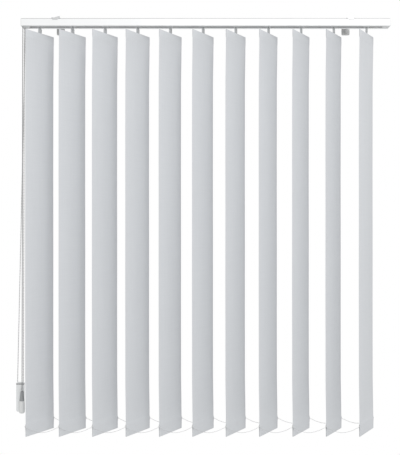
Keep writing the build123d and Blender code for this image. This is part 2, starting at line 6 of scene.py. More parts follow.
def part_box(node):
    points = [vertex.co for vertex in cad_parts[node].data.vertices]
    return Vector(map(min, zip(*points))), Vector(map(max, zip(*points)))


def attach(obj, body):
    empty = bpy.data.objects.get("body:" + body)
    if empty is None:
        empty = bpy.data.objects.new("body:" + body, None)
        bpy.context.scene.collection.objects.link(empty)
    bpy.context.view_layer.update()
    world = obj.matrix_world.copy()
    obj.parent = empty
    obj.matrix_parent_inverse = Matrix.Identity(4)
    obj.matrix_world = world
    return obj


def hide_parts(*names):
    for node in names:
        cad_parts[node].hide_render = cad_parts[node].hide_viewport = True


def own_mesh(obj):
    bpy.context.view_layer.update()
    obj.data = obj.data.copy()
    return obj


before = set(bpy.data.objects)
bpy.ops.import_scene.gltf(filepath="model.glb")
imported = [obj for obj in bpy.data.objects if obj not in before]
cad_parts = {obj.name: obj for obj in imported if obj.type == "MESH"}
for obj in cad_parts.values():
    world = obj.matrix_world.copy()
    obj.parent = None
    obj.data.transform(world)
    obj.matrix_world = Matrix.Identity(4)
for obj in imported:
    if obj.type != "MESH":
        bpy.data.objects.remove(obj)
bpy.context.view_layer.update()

# Headrail: a channel extruded in aluminium, 40 mm deep and 26 mm high, with a slot along
# its underside for the hooks. It is stoved with white enamel, which shows a faint orange
# peel, and dust settles along its top. Grey painted shade darkens its rounded upper edges.


def new_effect(name, inputs, outputs):
    """An empty node group with named inputs and outputs, as (kind, name, value) each."""
    group = bpy.data.node_groups.new(name, "ShaderNodeTree")
    for kind, label, value in inputs:
        entry = group.interface.new_socket(label, in_out="INPUT", socket_type=kind)
        entry.default_value = value
    for kind, label in outputs:
        group.interface.new_socket(label, in_out="OUTPUT", socket_type=kind)
    return group, group.nodes.new("NodeGroupInput"), group.nodes.new("NodeGroupOutput")


def maths(tree, kind, first, second=None, third=None):
    """A Math node fed by sockets or numbers; gives its output."""
    node = tree.nodes.new("ShaderNodeMath")
    node.operation = kind
    for socket, value in zip(node.inputs, (first, second, third)):
        if value is None:
            continue
        if isinstance(value, (int, float)):
            socket.default_value = value
        else:
            tree.links.new(value, socket)
    return node.outputs[0]


def blended(tree, share, first, second):
    """A colour between two, by a share; gives its output."""
    node = tree.nodes.new("ShaderNodeMix")
    node.data_type = "RGBA"
    tree.links.new(share, node.inputs[0])
    for socket, value in ((node.inputs[6], first), (node.inputs[7], second)):
        if isinstance(value, (tuple, list)):
            socket.default_value = value
        else:
            tree.links.new(value, socket)
    return node.outputs[2]


# grain: fine unevenness of a moulded, stoved or cast surface, with a slow mottle
grain, grain_in, grain_out = new_effect(
    "grain",
    [("NodeSocketFloat", "Fine", 900.0), ("NodeSocketFloat", "Slow", 9.0)],
    [("NodeSocketFloat", "Height"), ("NodeSocketFloat", "Mottle")],
)
grain_place = grain.nodes.new("ShaderNodeTexCoord")
for label, detail, target in (("Fine", 2.0, "Height"), ("Slow", 3.0, "Mottle")):
    noise = grain.nodes.new("ShaderNodeTexNoise")
    noise.inputs["Detail"].default_value = detail
    grain.links.new(grain_place.outputs["Object"], noise.inputs["Vector"])
    grain.links.new(grain_in.outputs[label], noise.inputs["Scale"])
    grain.links.new(noise.outputs["Fac"], grain_out.inputs[target])

# settled dust: a mask on faces that look up, patchy
dust, dust_in, dust_out = new_effect(
    "settled_dust",
    [("NodeSocketFloat", "Amount", 0.5)],
    [("NodeSocketFloat", "Mask")],
)
dust_geometry = dust.nodes.new("ShaderNodeNewGeometry")
dust_split = dust.nodes.new("ShaderNodeSeparateXYZ")
dust.links.new(dust_geometry.outputs["Normal"], dust_split.inputs[0])
dust_place = dust.nodes.new("ShaderNodeTexCoord")
dust_noise = dust.nodes.new("ShaderNodeTexNoise")
dust_noise.inputs["Scale"].default_value = 60.0
dust_noise.inputs["Detail"].default_value = 5.0
dust.links.new(dust_place.outputs["Object"], dust_noise.inputs["Vector"])
looks_up = maths(dust, "MULTIPLY_ADD", dust_split.outputs["Z"], 1.5, -0.45)
patchy = maths(dust, "MULTIPLY_ADD", dust_noise.outputs["Fac"], 1.6, -0.3)
settled = maths(dust, "MULTIPLY", maths(dust, "MAXIMUM", looks_up, 0.0), patchy)
settled = maths(dust, "MULTIPLY", settled, dust_in.outputs["Amount"])
dust.links.new(maths(dust, "MINIMUM", settled, 1.0), dust_out.inputs["Mask"])


def finish_of(name, colour, other, roughness, fine=900.0, slow=9.0, relief=0.05, dusty=0.4):
    """A surface between two close colours, with fine grain and some dust on top."""
    material = bpy.data.materials.new(name)
    material.use_nodes = True
    tree = material.node_tree
    shader = tree.nodes["Principled BSDF"]
    texture = tree.nodes.new("ShaderNodeGroup")
    texture.node_tree = grain
    texture.inputs["Fine"].default_value = fine
    texture.inputs["Slow"].default_value = slow
    top = tree.nodes.new("ShaderNodeGroup")
    top.node_tree = dust
    top.inputs["Amount"].default_value = dusty
    mottled = blended(tree, texture.outputs["Mottle"], (*colour, 1.0), (*other, 1.0))
    dusted = blended(tree, top.outputs["Mask"], mottled, (0.42, 0.40, 0.37, 1.0))
    tree.links.new(dusted, shader.inputs["Base Color"])
    rough = maths(tree, "MULTIPLY_ADD", texture.outputs["Height"], 0.12, roughness - 0.06)
    rough = maths(tree, "MULTIPLY_ADD", top.outputs["Mask"], 0.3, rough)
    tree.links.new(rough, shader.inputs["Roughness"])
    bump = tree.nodes.new("ShaderNodeBump")
    bump.inputs["Strength"].default_value = relief
    bump.inputs["Distance"].default_value = 0.0004
    tree.links.new(texture.outputs["Height"], bump.inputs["Height"])
    tree.links.new(bump.outputs["Normal"], shader.inputs["Normal"])
    return material


def clad(node, material):
    """Gives a CAD node's object its finish."""
    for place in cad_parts[node].material_slots:
        place.material = material


# the dust amount is high here: besides dust on the rail's top, it greys the up-facing rounded upper edges as painted
# shade
enamel = finish_of("white_enamel", (0.94, 0.94, 0.935), (0.91, 0.91, 0.905), 0.32, fine=450.0, relief=0.12, dusty=1.1)
enamel_tree = enamel.node_tree
enamel_shader = enamel_tree.nodes["Principled BSDF"]
enamel_shader.inputs["Coat Weight"].default_value = 0.25
# painted shade: a grey band at the height of the rail's two rounded upper edges darkens the enamel's colour there
rail_place = enamel_tree.nodes.new("ShaderNodeTexCoord")
rail_split = enamel_tree.nodes.new("ShaderNodeSeparateXYZ")
enamel_tree.links.new(rail_place.outputs["Object"], rail_split.inputs[0])
over_edge = maths(enamel_tree, "MULTIPLY_ADD", rail_split.outputs["Z"], 1600.0, -0.0137 * 1600.0)
under_top = maths(enamel_tree, "MULTIPLY_ADD", rail_split.outputs["Z"], -3000.0, 0.0159 * 3000.0)
painted_edge_shade = maths(enamel_tree, "MINIMUM", over_edge, under_top)
painted_edge_shade = maths(enamel_tree, "MINIMUM", maths(enamel_tree, "MAXIMUM", painted_edge_shade, 0.0), 1.0)
plain_enamel = enamel_shader.inputs["Base Color"].links[0].from_socket
shade_edged_enamel = blended(enamel_tree, painted_edge_shade, plain_enamel, (0.33, 0.33, 0.33, 1.0))
enamel_tree.links.new(shade_edged_enamel, enamel_shader.inputs["Base Color"])
clad("headrail", enamel)

# End caps: moulded in white plastic and pushed into the rail's ends. The control end's
# holds the chain's sprocket and guides the cord, the return end's holds the cord's pulley.
cap_plastic = finish_of("cap_plastic", (0.86, 0.86, 0.85), (0.82, 0.82, 0.81), 0.42, fine=1400.0, dusty=0.8)
clad("control_end_cap", cap_plastic)
clad("return_end_cap", cap_plastic)

# Tilt rod: drawn aluminium, grooved along its length. Its sprocket and the cord's return
# pulley are moulded in grey plastic.
rod_metal = finish_of("rod_aluminium", (0.62, 0.62, 0.63), (0.55, 0.55, 0.56), 0.28, fine=2500.0)
rod_metal.node_tree.nodes["Principled BSDF"].inputs["Metallic"].default_value = 1.0
gear_plastic = finish_of("gear_plastic", (0.50, 0.51, 0.52), (0.46, 0.47, 0.48), 0.45, fine=1600.0)
clad("tilt_rod", rod_metal)
clad("chain_sprocket", gear_plastic)
clad("return_pulley", gear_plastic)

# Carriers and worms: moulded plastic runners that glide in the rail, each with a worm on
# the tilt rod that turns its hook. A thin strip hooked in each spaces the next one.
slat_count = 11
for number in range(1, slat_count + 1):
    clad(f"carrier_{number}", gear_plastic)
    clad(f"worm_{number}", gear_plastic)

# Hooks: moulded in milky plastic, with a toothed wheel at the top, a stem through the
# rail's slot and a clip that the slat's hanger is pushed onto.
milky = finish_of("milky_plastic", (0.54, 0.55, 0.55), (0.47, 0.48, 0.48), 0.33, fine=1800.0)
milky.node_tree.nodes["Principled BSDF"].inputs["Subsurface Weight"].default_value = 0.15
milky.node_tree.nodes["Principled BSDF"].inputs["Subsurface Radius"].default_value = (0.004,) * 3
for number in range(1, slat_count + 1):
    clad(f"hook_{number}", milky)

# Wall brackets: pressed from 2 mm steel, zinc plated, each screwed to the wall through its
# leg by two pan-head screws. The arm reaches out over the rail.
zinc = finish_of("zinc_plate", (0.64, 0.64, 0.63), (0.55, 0.55, 0.55), 0.46, fine=350.0, slow=70.0)
zinc.node_tree.nodes["Principled BSDF"].inputs["Metallic"].default_value = 0.75
clad("wall_brackets", zinc)


def clear_selection():
    """Nothing selected, so that the next tool works only on what it adds."""
    if bpy.context.object and bpy.context.object.mode != "OBJECT":
        bpy.ops.object.mode_set(mode="OBJECT")
    bpy.ops.object.select_all(action="DESELECT")


def settle(piece, name):
    """Names a modelled piece, applies its place and smooths its rounded faces."""
    piece.name = name
    piece.data.name = name
    clear_selection()
    piece.select_set(True)
    bpy.context.view_layer.objects.active = piece
    bpy.ops.object.transform_apply(location=True, rotation=True, scale=True)
    bpy.ops.object.shade_smooth_by_angle(angle=radians(35))
    return piece


def apply_modifier(piece, kind, **values):
    """Adds a modifier with these values to a piece and applies it."""
    modifier = piece.modifiers.new(kind.lower(), kind)
    for key, value in values.items():
        setattr(modifier, key, value)
    bpy.ops.object.modifier_apply(modifier=modifier.name)


def pick(piece, test, kind="VERT"):
    """Selects a piece's vertices, edges or faces, in edit mode, by a test on their middle."""
    bpy.ops.object.mode_set(mode="OBJECT")
    mesh = piece.data
    places = [v.co for v in mesh.vertices]
    for part in (mesh.vertices, mesh.edges, mesh.polygons):
        part.foreach_set("select", [False] * len(part))
    if kind == "VERT":
        chosen = mesh.vertices
        middles = places
    else:
        chosen = mesh.edges if kind == "EDGE" else mesh.polygons
        middles = [
            sum((places[i] for i in part.vertices), Vector()) / len(part.vertices)
            for part in chosen
        ]
    for part, middle in zip(chosen, middles):
        part.select = bool(test(middle))
    bpy.ops.object.mode_set(mode="EDIT")
    bpy.ops.mesh.select_mode(type=kind)


def copied(piece, name, shift):
    """A copy of a piece with its own mesh, moved by a shift."""
    twin = piece.copy()
    twin.data = piece.data.copy()
    twin.data.transform(Matrix.Translation(shift))
    twin.name = name
    twin.data.name = name
    bpy.context.collection.objects.link(twin)
    return twin


def dress(piece, material, body, slot, *nodes):
    """Gives a piece its finish and its body, and hides the CAD nodes it goes with; the slot is not used."""
    piece.data.materials.clear()
    piece.data.materials.append(material)
    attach(piece, body)
    if nodes:
        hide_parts(*nodes)


screw_steel = finish_of("screw_steel", (0.58, 0.58, 0.57), (0.50, 0.50, 0.49), 0.3, fine=1200.0)
screw_steel.node_tree.nodes["Principled BSDF"].inputs["Metallic"].default_value = 0.9
clear_selection()
bpy.ops.mesh.primitive_cylinder_add(vertices=28, radius=0.0041, depth=0.0019)
screw = bpy.context.object
bpy.ops.object.mode_set(mode="EDIT")
pick(screw, lambda middle: middle.z > 0.0008, "FACE")
bpy.ops.mesh.inset(thickness=0.0024)
bpy.ops.transform.translate(value=(0, 0, 0.0003))
bpy.ops.mesh.inset(thickness=0.0006)
bpy.ops.mesh.extrude_region_move(TRANSFORM_OT_translate={"value": (0, 0, -0.0009)})
bpy.ops.object.mode_set(mode="OBJECT")
apply_modifier(screw, "BEVEL", width=0.0003, segments=2, limit_method="ANGLE")
screw.rotation_euler = (radians(90), 0, 0)
settle(screw, "screw_blank")
bracket_low, bracket_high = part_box("wall_brackets")
bracket_x = bracket_high.x - 0.0145
for side, x in (("left", -bracket_x), ("right", bracket_x)):
    for level, z in (("upper", 0.010), ("lower", -0.010)):
        head = copied(screw, f"wall_screw_{side}_{level}", (x, -0.0029, z))
        dress(head, screw_steel, "rail", "bracket_steel")
bpy.data.objects.remove(screw)

# Rail clips: sprung steel, dulled dark, each gripping the rail's two top edges and bolted
# up to its bracket's arm. The bolts' hexagon heads stand on the arms.
clip_steel = finish_of("clip_steel", (0.72, 0.72, 0.72), (0.60, 0.60, 0.60), 0.34, fine=700.0, dusty=0.2)
clip_steel.node_tree.nodes["Principled BSDF"].inputs["Metallic"].default_value = 0.3
clad("rail_clips", clip_steel)

# Slats: strips of woven polyester 127 mm wide, cut 1481 mm long. Each end is turned back
# to make a pocket, 30 mm deep at the top and 45 mm at the bottom, and sewn across.
hang_y = -0.070
pitch = 0.115
first_x = -(slat_count - 1) / 2 * pitch
turn = radians(54.5)
slat_top = -0.031
slat_low = -1.437
width = 0.127
cloth = 0.0005
tab_half = 0.0083
to_place = Matrix.Translation((first_x, hang_y, 0)) @ Matrix.Rotation(turn, 4, "Z")

# weave: two sets of threads over and under, with thicker slubs in both directions
weave, weave_in, weave_out = new_effect(
    "weave",
    [("NodeSocketFloat", "Threads per metre", 1400.0)],
    [("NodeSocketFloat", "Height"), ("NodeSocketFloat", "Slub")],
)
weave_place = weave.nodes.new("ShaderNodeTexCoord")
weave_turn = weave.nodes.new("ShaderNodeMapping")
weave_turn.inputs["Rotation"].default_value = (0, 0, -turn)
weave.links.new(weave_place.outputs["Object"], weave_turn.inputs["Vector"])
weave_split = weave.nodes.new("ShaderNodeSeparateXYZ")
weave.links.new(weave_turn.outputs[0], weave_split.inputs[0])
per_metre = maths(weave, "MULTIPLY", weave_in.outputs[0], pi)
across = maths(weave, "SINE", maths(weave, "MULTIPLY", weave_split.outputs["X"], per_metre))
down = maths(weave, "SINE", maths(weave, "MULTIPLY", weave_split.outputs["Z"], per_metre))
over_under = maths(weave, "MULTIPLY", across, down)
slubs = []
for stretch in ((900.0, 900.0, 14.0), (22.0, 22.0, 1100.0)):
    scaled = weave.nodes.new("ShaderNodeMapping")
    scaled.inputs["Scale"].default_value = stretch
    weave.links.new(weave_turn.outputs[0], scaled.inputs["Vector"])
    streak = weave.nodes.new("ShaderNodeTexNoise")
    streak.inputs["Scale"].default_value = 0.6
    streak.inputs["Detail"].default_value = 2.0
    weave.links.new(scaled.outputs[0], streak.inputs["Vector"])
    slubs.append(streak.outputs["Fac"])
slub = maths(weave, "MULTIPLY_ADD", slubs[0], 0.5, maths(weave, "MULTIPLY", slubs[1], 0.5))
weave.links.new(slub, weave_out.inputs["Slub"])
height = maths(weave, "MULTIPLY_ADD", over_under, 0.25, slub)
weave.links.new(height, weave_out.inputs["Height"])

slat_cloth = bpy.data.materials.new("slat_cloth")
slat_cloth.use_nodes = True
cloth_tree = slat_cloth.node_tree
cloth_shader = cloth_tree.nodes["Principled BSDF"]
threads = cloth_tree.nodes.new("ShaderNodeGroup")
threads.node_tree = weave
cloth_tint = blended(cloth_tree, threads.outputs["Slub"], (0.655, 0.668, 0.688, 1), (0.735, 0.746, 0.762, 1))
cloth_tree.links.new(cloth_tint, cloth_shader.inputs["Base Color"])
cloth_rough = maths(cloth_tree, "MULTIPLY_ADD", threads.outputs["Slub"], -0.15, 0.88)
cloth_tree.links.new(cloth_rough, cloth_shader.inputs["Roughness"])
cloth_shader.inputs["Sheen Weight"].default_value = 0.12
cloth_shader.inputs["Sheen Roughness"].default_value = 0.5
cloth_bump = cloth_tree.nodes.new("ShaderNodeBump")
cloth_bump.inputs["Strength"].default_value = 0.35
cloth_bump.inputs["Distance"].default_value = 0.0003
cloth_tree.links.new(threads.outputs["Height"], cloth_bump.inputs["Height"])
cloth_tree.links.new(cloth_bump.outputs["Normal"], cloth_shader.inputs["Normal"])

# the strip's way, from its lower flap's end, round the weight, up, and over the hanger:
# how far it stands from the slat's middle plane, and its height
cloth_way = [
    (0.00056, slat_low + 0.0450),
    (0.00100, slat_low + 0.0420),
    (0.00150, slat_low + 0.0385),
    (0.00160, slat_low + 0.0340),
    (0.00160, slat_low + 0.0200),
    (0.00160, slat_low + 0.0040),
    (0.00130, slat_low + 0.0014),
    (0.00060, slat_low + 0.0004),
    (-0.00060, slat_low + 0.0004),
    (-0.00130, slat_low + 0.0014),
    (-0.00160, slat_low + 0.0040),
    (-0.00160, slat_low + 0.0200),
    (-0.00160, slat_low + 0.0360),
    (-0.00140, slat_low + 0.0400),
    (-0.00070, slat_low + 0.0440),
    (0.0, slat_low + 0.0475),
]
straight_low = slat_low + 0.0475
straight_high = slat_top - 0.0330
straight_steps = 40
for step in range(1, straight_steps + 1):
    share = step / straight_steps
    cloth_way.append((0.0, straight_low + share * (straight_high - straight_low)))
cloth_way += [
    (-0.00060, slat_top - 0.0295),
    (-0.00125, slat_top - 0.0250),
    (-0.00140, slat_top - 0.0200),
    (-0.00140, slat_top - 0.0040),
    (-0.00110, slat_top - 0.0012),
    (-0.00045, slat_top - 0.0004),
    (0.00045, slat_top - 0.0004),
    (0.00110, slat_top - 0.0012),
    (0.00140, slat_top - 0.0040),
    (0.00140, slat_top - 0.0200),
    (0.00120, slat_top - 0.0260),
    (0.00056, slat_top - 0.0300),
]
clear_selection()
bpy.ops.mesh.primitive_plane_add(size=width)
strip = bpy.context.object
bpy.ops.object.mode_set(mode="EDIT")
for cut in (-0.0599, -0.050, -0.036, -0.021, -tab_half, tab_half, 0.021, 0.036, 0.050, 0.0599):
    bpy.ops.mesh.select_all(action="SELECT")
    bpy.ops.mesh.bisect(plane_co=(cut, 0, 0), plane_no=(1, 0, 0))
bpy.ops.object.mode_set(mode="OBJECT")
for vertex in strip.data.vertices:
    stand, level = cloth_way[1 if vertex.co.y > 0 else 0]
    vertex.co = (vertex.co.x, stand, level)
last_stand, last_level = cloth_way[1]
pick(strip, lambda middle: abs(middle.z - last_level) < 1e-5 and abs(middle.y - last_stand) < 1e-5, "EDGE")
for (stand, level), (next_stand, next_level) in zip(cloth_way[1:], cloth_way[2:]):
    step = (0, next_stand - stand, next_level - level)
    bpy.ops.mesh.extrude_region_move(TRANSFORM_OT_translate={"value": step})
# the top fold is notched for the hanger's tab
pick(strip, lambda middle: abs(middle.x) < 0.005 and middle.z > slat_top - 0.0012, "FACE")
bpy.ops.mesh.delete(type="FACE")
bpy.ops.mesh.select_all(action="SELECT")
bpy.ops.mesh.remove_doubles(threshold=1e-6)
bpy.ops.mesh.normals_make_consistent(inside=False)
bpy.ops.object.mode_set(mode="OBJECT")
# the strip hangs with a slight bow across its width, which its two pockets hold flat, and
# the pockets' open ends lie nearly shut past the card and the weight
bow = 0.0045
lug_level = slat_low + 0.0366
for vertex in strip.data.vertices:
    level = vertex.co.z
    hold = min(max(level - straight_low, 0.0), max(straight_high - level, 0.0))
    ease = min(1.0, hold / 0.16)
    ease = ease * ease * (3 - 2 * ease)
    crown = 1 - (2 * vertex.co.x / width) ** 2
    ripple = 0.00025 * sin(9.0 * level) * sin(60.0 * vertex.co.x + 4.0 * level)
    if abs(vertex.co.x) > 0.060 and abs(level - lug_level) > 0.004:
        vertex.co.y *= 0.45
    vertex.co.y += ease * (bow * (0.5 - crown) + ripple)
apply_modifier(strip, "SOLIDIFY", thickness=cloth, offset=0.0)
strip.matrix_world = to_place
settle(strip, "slat_cloth_1")

# its two rows of stitches, on both faces
stitch_thread = finish_of("stitch_thread", (0.80, 0.81, 0.82), (0.70, 0.71, 0.72), 0.7, fine=3000.0, dusty=0.0)
stitch_count = 31
stitch_step = 0.004
clear_selection()
bpy.ops.mesh.primitive_cylinder_add(vertices=6, radius=0.00022, depth=0.0028)
stitch = bpy.context.object
bpy.ops.object.mode_set(mode="EDIT")
pick(stitch, lambda middle: abs(middle.z) > 0.001, "FACE")
bpy.ops.mesh.inset(thickness=0.0001)
bpy.ops.transform.translate(value=(0.00018, 0, 0))
bpy.ops.object.mode_set(mode="OBJECT")
stitch.rotation_euler = (0, radians(90), 0)
stitch.location = (-(stitch_count - 1) / 2 * stitch_step, 0, 0)
settle(stitch, "stitch")
apply_modifier(
    stitch, "ARRAY", count=stitch_count, use_relative_offset=False,
    use_constant_offset=True, constant_offset_displace=(stitch_step, 0, 0),
)
rows = []
for stand, level in ((-0.00036, straight_low - 0.0010), (0.00036, straight_low + 0.0010),
                     (-0.00036, straight_high + 0.0008), (0.00036, straight_high - 0.0008)):
    rows.append(copied(stitch, "stitch_row", (0, stand, level)))
bpy.data.objects.remove(stitch)
clear_selection()
for row in rows:
    row.select_set(True)
bpy.context.view_layer.objects.active = rows[0]
bpy.ops.object.join()
stitches = rows[0]
stitches.matrix_world = to_place
settle(stitches, "slat_stitches_1")

# Hangers: cards of clear plastic in the slats' top pockets, each with a tab that stands
# out of the fold and an eye in it that the hook's peg snaps into.
card_plastic = finish_of("card_plastic", (0.74, 0.75, 0.76), (0.70, 0.71, 0.72), 0.22, fine=1500.0)
card_plastic.node_tree.nodes["Principled BSDF"].inputs["Transmission Weight"].default_value = 0.25
card_top = slat_top - 0.0008
card_low = card_top - 0.014
tab_top = slat_top + 0.014
eye_low = slat_top + 0.0038
eye_high = slat_top + 0.0088
clear_selection()
bpy.ops.mesh.primitive_plane_add(size=1)
card = bpy.context.object
bpy.ops.object.mode_set(mode="OBJECT")
for vertex in card.data.vertices:
    vertex.co = (0.059 if vertex.co.x > 0 else -0.059, 0, card_top if vertex.co.y > 0 else card_low)
bpy.ops.object.mode_set(mode="EDIT")
for cut in (-0.008, -0.0035, 0.0035, 0.008):
    bpy.ops.mesh.select_all(action="SELECT")
    bpy.ops.mesh.bisect(plane_co=(cut, 0, 0), plane_no=(1, 0, 0))
pick(card, lambda middle: abs(middle.x) < 0.0079 and abs(middle.z - card_top) < 1e-5, "EDGE")
for level, next_level in ((card_top, eye_low), (eye_low, eye_high), (eye_high, tab_top)):
    bpy.ops.mesh.extrude_region_move(TRANSFORM_OT_translate={"value": (0, 0, next_level - level)})
pick(card, lambda middle: abs(middle.x) < 0.001 and eye_low < middle.z < eye_high, "FACE")
bpy.ops.mesh.delete(type="FACE")
bpy.ops.mesh.select_all(action="SELECT")
bpy.ops.mesh.normals_make_consistent(inside=False)
bpy.ops.object.mode_set(mode="OBJECT")
apply_modifier(card, "SOLIDIFY", thickness=0.0020, offset=0.0)
apply_modifier(card, "BEVEL", width=0.0004, segments=2, limit_method="ANGLE")
card.matrix_world = to_place
settle(card, "hanger_card_1")

# Slat weights: plates of white plastic in the bottom pockets, 38 mm high. A lug at each
# end stands past the cloth, for the chains that join the slats.
plate_plastic = finish_of("plate_plastic", (0.78, 0.78, 0.77), (0.74, 0.74, 0.73), 0.40, fine=1300.0)
plate_low = slat_low + 0.00065
plate_high = plate_low + 0.038
lug_low = plate_high - 0.004
clear_selection()
bpy.ops.mesh.primitive_plane_add(size=1)
plate = bpy.context.object
for vertex in plate.data.vertices:
    vertex.co = (0.0595 if vertex.co.x > 0 else -0.0595, 0, plate_high if vertex.co.y > 0 else plate_low)
bpy.ops.object.mode_set(mode="EDIT")
bpy.ops.mesh.select_all(action="SELECT")
bpy.ops.mesh.bisect(plane_co=(0, 0, lug_low), plane_no=(0, 0, 1))
for side in (-1, 1):
    pick(plate, lambda middle: abs(middle.x - side * 0.0595) < 1e-5 and middle.z > lug_low, "EDGE")
    bpy.ops.mesh.extrude_region_move(TRANSFORM_OT_translate={"value": (side * 0.0065, 0, 0)})
    bpy.ops.mesh.extrude_region_move(TRANSFORM_OT_translate={"value": (side * 0.0020, 0, 0)})
    bpy.ops.transform.resize(value=(1, 1, 0.7), center_override=(0, 0, plate_high - 0.002))
bpy.ops.object.mode_set(mode="OBJECT")
apply_modifier(plate, "SOLIDIFY", thickness=0.0024, offset=0.0)
apply_modifier(plate, "BEVEL", width=0.0005, segments=2, limit_method="ANGLE")
plate.matrix_world = to_place
settle(plate, "slat_weight_1")

hung = [(strip, stitches, card, plate)]
for number in range(2, slat_count + 1):
    shift = ((number - 1) * pitch, 0, 0)
    names = ("slat_cloth", "slat_stitches", "hanger_card", "slat_weight")
    hung.append([copied(model, f"{name}_{number}", shift) for model, name in zip(hung[0], names)])
for number, pieces in enumerate(hung, start=1):
    body, node = f"slat_{number}", f"slat_{number}"
    dress(pieces[0], slat_cloth, body, "slat_fabric", node)
    dress(pieces[1], stitch_thread, body, "slat_fabric")
    dress(pieces[2], card_plastic, body, "clear_plastic", node)
    dress(pieces[3], plate_plastic, body, "white_plastic", node)

# Bead chain: a loop of 4 mm plastic beads moulded on a polyester cord. It runs over the
# sprocket in the control end and round the wheel in its hanging weight.
sprocket_x = -0.630
chain_route = [
    (sprocket_x, -0.066, -0.0005),
    (sprocket_x, -0.066, 0.0065),
    (sprocket_x, -0.055, 0.0065),
    (sprocket_x, -0.055, -0.0020),
    (-0.633, -0.0578, -0.0070),
    (-0.6331, -0.0579, -0.0310),
    (-0.63595, -0.06095, -1.2675),
    (-0.636, -0.061, -1.2915),
    (-0.657, -0.061, -1.2915),
    (-0.65645, -0.06109, -1.2675),
    (-0.6275, -0.0659, -0.0310),
    (-0.627, -0.066, -0.0070),
    (sprocket_x, -0.066, -0.0015),
]


def smooth_line(name, route):
    """A curve object whose one NURBS spline has the route's points as control points."""
    curve = bpy.data.curves.new(name, "CURVE")
    curve.dimensions = "3D"
    spline = curve.splines.new("NURBS")
    spline.points.add(len(route) - 1)
    for point, place in zip(spline.points, route):
        point.co = (*place, 1.0)
    spline.order_u = 3
    spline.use_endpoint_u = True
    spline.resolution_u = 16
    line = bpy.data.objects.new(name, curve)
    bpy.context.collection.objects.link(line)
    return line


def read_line(line):
    """The points along a smooth line, in order."""
    bpy.context.view_layer.update()
    mesh = bpy.data.meshes.new_from_object(line)
    places = [vertex.co.copy() for vertex in mesh.vertices]
    bpy.data.meshes.remove(mesh)
    return places


def spaced(places, step):
    """Places a step apart along a line, each with the line's direction there."""
    lengths = [0.0]
    for here, there in zip(places, places[1:]):
        lengths.append(lengths[-1] + (there - here).length)
    count = round(lengths[-1] / step)
    found, part = [], 0
    for bead in range(count):
        at = (bead + 0.5) * lengths[-1] / count
        while lengths[part + 1] < at:
            part += 1
        span = places[part + 1] - places[part]
        share = (at - lengths[part]) / max(span.length, 1e-9)
        found.append((places[part] + share * span, span.normalized()))
    return found


def beaded(name, route, bead, step, thread):
    """A chain of beads moulded on a thread along a route, with the line it follows."""
    line = smooth_line(name + "_line", route)
    places = read_line(line)
    clear_selection()
    bpy.ops.mesh.primitive_uv_sphere_add(segments=8, ring_count=6, radius=bead)
    pearl = bpy.context.object
    bpy.ops.object.mode_set(mode="EDIT")
    pick(pearl, lambda middle: abs(middle.z) > 0.95 * bead)
    bpy.ops.transform.resize(value=(1, 1, 1.06))
    bpy.ops.object.mode_set(mode="OBJECT")
    pattern = [vertex.co.copy() for vertex in pearl.data.vertices]
    faces = [tuple(face.vertices) for face in pearl.data.polygons]
    bpy.data.objects.remove(pearl)
    line.data.bevel_depth = thread
    line.data.bevel_resolution = 1
    bpy.context.view_layer.update()
    core = bpy.data.meshes.new_from_object(line)
    spots = [vertex.co.copy() for vertex in core.vertices]
    sides = [tuple(face.vertices) for face in core.polygons]
    for place, way in spaced(places, step):
        start = len(spots)
        lie = Matrix.Translation(place) @ way.to_track_quat("Z", "Y").to_matrix().to_4x4()
        spots += [lie @ corner for corner in pattern]
        sides += [tuple(start + i for i in face) for face in faces]
    bpy.data.objects.remove(line)
    mesh = bpy.data.meshes.new(name)
    mesh.from_pydata(spots, [], sides)
    mesh.update()
    chain = bpy.data.objects.new(name, mesh)
    bpy.context.collection.objects.link(chain)
    return settle(chain, name), places


bead_plastic = finish_of("bead_plastic", (0.60, 0.60, 0.60), (0.52, 0.52, 0.52), 0.34, fine=2200.0, dusty=0.1)
bead_chain, chain_line = beaded("bead_chain_beads", chain_route, 0.0020, 0.0055, 0.0006)
dress(bead_chain, bead_plastic, "rail", "chain_plastic", "bead_chain")

# Chain weight: two flat halves of grey plastic screwed together round the chain's lower
# turn, with a lighter round cover over the wheel's pin on each face.
casing_plastic = finish_of("casing_plastic", (0.89, 0.90, 0.90), (0.85, 0.86, 0.86), 0.38, fine=1500.0)
cover_plastic = finish_of("cover_plastic", (0.88, 0.88, 0.88), (0.84, 0.84, 0.84), 0.35, fine=1500.0)
band_plastic = finish_of("band_plastic", (0.50, 0.50, 0.50), (0.44, 0.44, 0.44), 0.40, fine=1500.0)
cone_plastic = finish_of("cone_plastic", (0.37, 0.375, 0.38), (0.31, 0.315, 0.32), 0.36, fine=1500.0)
casing_low, casing_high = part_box("chain_weight")
casing_middle = (casing_low + casing_high) / 2
wheel_z = -1.281
half_thick = (casing_high.y - casing_low.y) / 2
clear_selection()
bpy.ops.mesh.primitive_plane_add(size=1)
casing = bpy.context.object
casing.scale = (casing_high.x - casing_low.x, casing_high.z - casing_low.z, 1)
bpy.ops.object.transform_apply(location=False, rotation=False, scale=True)
bpy.ops.object.mode_set(mode="EDIT")
bpy.ops.mesh.select_all(action="SELECT")
bpy.ops.mesh.bevel(offset=0.006, segments=6, affect="VERTICES")
bpy.ops.mesh.select_all(action="SELECT")
bpy.ops.mesh.extrude_region_move(TRANSFORM_OT_translate={"value": (0, 0, half_thick - 0.0010)})
bpy.ops.mesh.extrude_region_move(TRANSFORM_OT_translate={"value": (0, 0, 0.0010)})
bpy.ops.transform.resize(value=(0.93, 0.98, 1.0))
bpy.ops.mesh.inset(thickness=0.0022)
bpy.ops.transform.translate(value=(0, 0, -0.0005))
bpy.ops.mesh.select_all(action="SELECT")
bpy.ops.mesh.normals_make_consistent(inside=False)
bpy.ops.object.mode_set(mode="OBJECT")
apply_modifier(casing, "BEVEL", width=0.0004, segments=2, limit_method="ANGLE")
casing.location = (casing_middle.x, casing_middle.y - 0.0001, casing_middle.z)
casing.rotation_euler = (radians(90), 0, 0)
settle(casing, "chain_weight_front")
